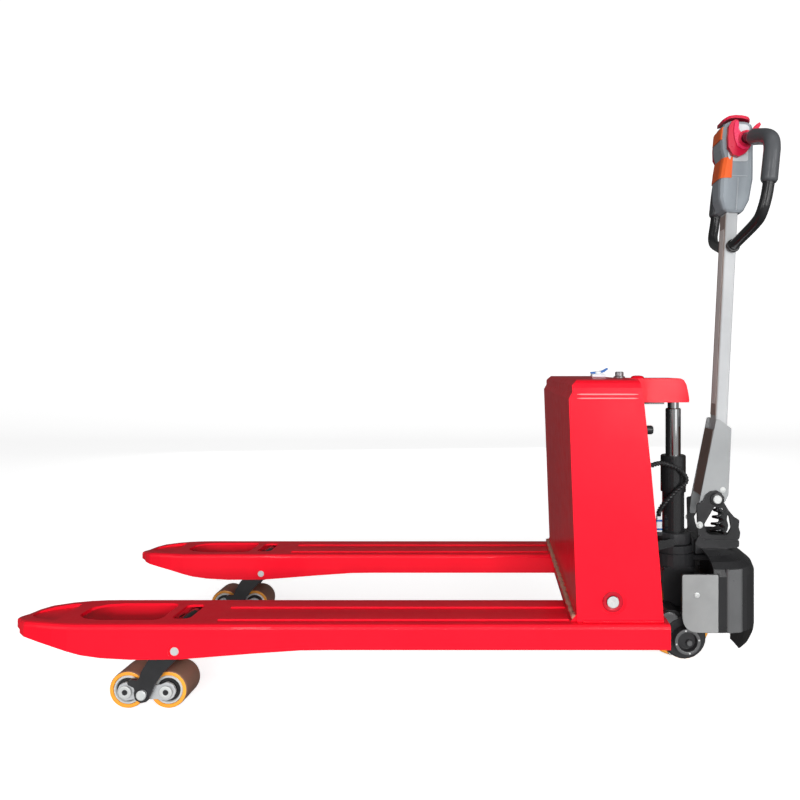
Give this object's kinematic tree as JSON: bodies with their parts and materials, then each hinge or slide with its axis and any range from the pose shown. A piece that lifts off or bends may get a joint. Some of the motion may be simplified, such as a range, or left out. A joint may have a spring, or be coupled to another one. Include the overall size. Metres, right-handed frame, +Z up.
{
  "type": "pallet truck",
  "caption": "Semi-electric pallet truck: long forks on tandem rollers, body box, hydraulic lift column, and a steered drive unit with a hinged tiller and throttle.",
  "frame": {"origin": "on the floor, under the middle of the truck's length and width", "axes": "+X from the fork tips towards the tiller, +Y to the truck's left seen from behind the forks, +Z up"},
  "size_m": [1.7132, 0.6862, 1.3762],
  "materials": {
    "red_paint": "gloss powder coat",
    "black_paint": "gloss",
    "black_plastic": "gloss",
    "cable_rubber": "satin",
    "cast_black": "painted, rough cast",
    "steel": "satin",
    "chrome": "polished",
    "silver_paint": "satin",
    "polyurethane": "satin",
    "grey_plastic": "fine grain",
    "orange_plastic": "satin",
    "crimson_plastic": "satin",
    "foam": "matte foam",
    "white_plastic": "satin"
  },
  "bodies": {
    "frame": {"fork_right": "red_paint", "fork_left": "red_paint", "fork_pin_right": "steel", "fork_pin_left": "steel", "box_shell": "red_paint", "crosshead": "red_paint", "crosshead_strap": "black_paint", "rear_panel": "black_paint", "panel_knob": "black_plastic", "battery_pack": "black_plastic", "pump_unit": "cast_black", "controller": "black_plastic", "charge_plug": "white_plastic", "key_switch": "steel", "piston_rod": "chrome", "cable": "cable_rubber"},
    "column": {"cylinder": "black_paint", "pump_base": "cast_black", "connector": "white_plastic"},
    "rocker": {"rocker_shaft": "steel"},
    "push_rod_right": {"push_rod_right": "black_paint"},
    "push_rod_left": {"push_rod_left": "black_paint"},
    "roller_frame_right": {"roller_frame_right": "cast_black"},
    "roller_frame_left": {"roller_frame_left": "cast_black"},
    "bogie_right": {"bogie_link_right": "silver_paint"},
    "bogie_left": {"bogie_link_left": "silver_paint"},
    "roller_front_right": {"roller_hub_front_right": "steel", "roller_tyre_front_right": "polyurethane"},
    "roller_rear_right": {"roller_hub_rear_right": "steel", "roller_tyre_rear_right": "polyurethane"},
    "roller_front_left": {"roller_hub_front_left": "steel", "roller_tyre_front_left": "polyurethane"},
    "roller_rear_left": {"roller_hub_rear_left": "steel", "roller_tyre_rear_left": "polyurethane"},
    "steer": {"swivel_bracket": "cast_black", "tiller_pin": "steel", "return_spring": "steel", "drive_carrier": "cast_black", "drive_axle": "steel", "gearbox": "cast_black", "gear_cap": "cast_black", "drive_motor": "cast_black", "drive_cover": "black_plastic"},
    "drive_wheel": {"drive_hub": "cast_black", "drive_tyre": "polyurethane"},
    "tiller": {"tiller_wedge": "silver_paint", "tiller_tube": "silver_paint", "head_shell": "grey_plastic", "keypad_upper": "orange_plastic", "keypad_lower": "orange_plastic", "loop_right": "black_paint", "loop_left": "black_paint", "grip_right": "foam", "grip_left": "foam"},
    "throttle": {"throttle_right": "crimson_plastic", "throttle_left": "crimson_plastic"},
    "belly": {"belly_button": "crimson_plastic"}
  },
  "joints": [
    {"name": "lift", "type": "slide", "parent": "frame", "child": "column", "axis": [0, 0, 1], "range_m": [0, 0.108], "deforming": ["cable"]},
    {"name": "rocker_turn", "type": "hinge", "parent": "frame", "child": "rocker", "pos_m": [0.4365, 0, 0.2396], "axis": [0, 1, 0], "range_deg": [-36.5, 0.1]},
    {"name": "push_right", "type": "slide", "parent": "frame", "child": "push_rod_right", "axis": [1, 0, 0], "range_m": [0, 0.0382]},
    {"name": "roller_frame_right_turn", "type": "hinge", "parent": "frame", "child": "roller_frame_right", "pos_m": [-0.48, -0.2625, 0.1417], "axis": [0, 1, 0], "range_deg": [-0.1, 55.1]},
    {"name": "bogie_right_turn", "type": "hinge", "parent": "roller_frame_right", "child": "bogie_right", "pos_m": [-0.5594, -0.2625, 0.0406], "axis": [0, 1, 0], "range_deg": [-55.1, 0.1]},
    {"name": "roller_front_right_spin", "type": "hinge", "parent": "bogie_right", "child": "roller_front_right", "pos_m": [-0.6016, -0.2625, 0.04], "axis": [0, 1, 0], "continuous": true},
    {"name": "roller_rear_right_spin", "type": "hinge", "parent": "bogie_right", "child": "roller_rear_right", "pos_m": [-0.5144, -0.2625, 0.04], "axis": [0, 1, 0], "continuous": true},
    {"name": "push_left", "type": "slide", "parent": "frame", "child": "push_rod_left", "axis": [1, 0, 0], "range_m": [0, 0.0382]},
    {"name": "roller_frame_left_turn", "type": "hinge", "parent": "frame", "child": "roller_frame_left", "pos_m": [-0.48, 0.2625, 0.1417], "axis": [0, 1, 0], "range_deg": [-0.1, 55.1]},
    {"name": "bogie_left_turn", "type": "hinge", "parent": "roller_frame_left", "child": "bogie_left", "pos_m": [-0.5594, 0.2625, 0.0406], "axis": [0, 1, 0], "range_deg": [-55.1, 0.1]},
    {"name": "roller_front_left_spin", "type": "hinge", "parent": "bogie_left", "child": "roller_front_left", "pos_m": [-0.6016, 0.2625, 0.04], "axis": [0, 1, 0], "continuous": true},
    {"name": "roller_rear_left_spin", "type": "hinge", "parent": "bogie_left", "child": "roller_rear_left", "pos_m": [-0.5144, 0.2625, 0.04], "axis": [0, 1, 0], "continuous": true},
    {"name": "steer_turn", "type": "hinge", "parent": "column", "child": "steer", "pos_m": [0.6527, 0, 0.262], "axis": [0, 0, 1], "range_deg": [-58, 58]},
    {"name": "drive_wheel_spin", "type": "hinge", "parent": "steer", "child": "drive_wheel", "pos_m": [0.6527, 0, 0.085], "axis": [0, 1, 0], "continuous": true},
    {"name": "tiller_tip", "type": "hinge", "parent": "steer", "child": "tiller", "pos_m": [0.751, 0, 0.401], "axis": [0, 1, 0], "range_deg": [0, 75], "stiffness_Nm_per_rad": 32, "springref_deg": -34.38},
    {"name": "throttle_turn", "type": "hinge", "parent": "tiller", "child": "throttle", "pos_m": [0.81876, 0, 1.30625], "axis": [0, 1, 0], "range_deg": [-28, 28], "stiffness_Nm_per_rad": 1.5},
    {"name": "belly_press", "type": "slide", "parent": "tiller", "child": "belly", "axis": [-0.0503, 0, -0.9987], "range_m": [0, 0.004], "stiffness_N_per_m": 900, "springref_m": -0.003}
  ],
  "couplings": [
    {"joint": "rocker_turn", "follows": "lift", "rad_per_m": -5.88},
    {"joint": "push_right", "follows": "lift", "ratio": 0.353},
    {"joint": "roller_frame_right_turn", "follows": "lift", "rad_per_m": 8.877},
    {"joint": "bogie_right_turn", "follows": "lift", "rad_per_m": -8.877},
    {"joint": "push_left", "follows": "lift", "ratio": 0.353},
    {"joint": "roller_frame_left_turn", "follows": "lift", "rad_per_m": 8.877},
    {"joint": "bogie_left_turn", "follows": "lift", "rad_per_m": -8.877}
  ]
}
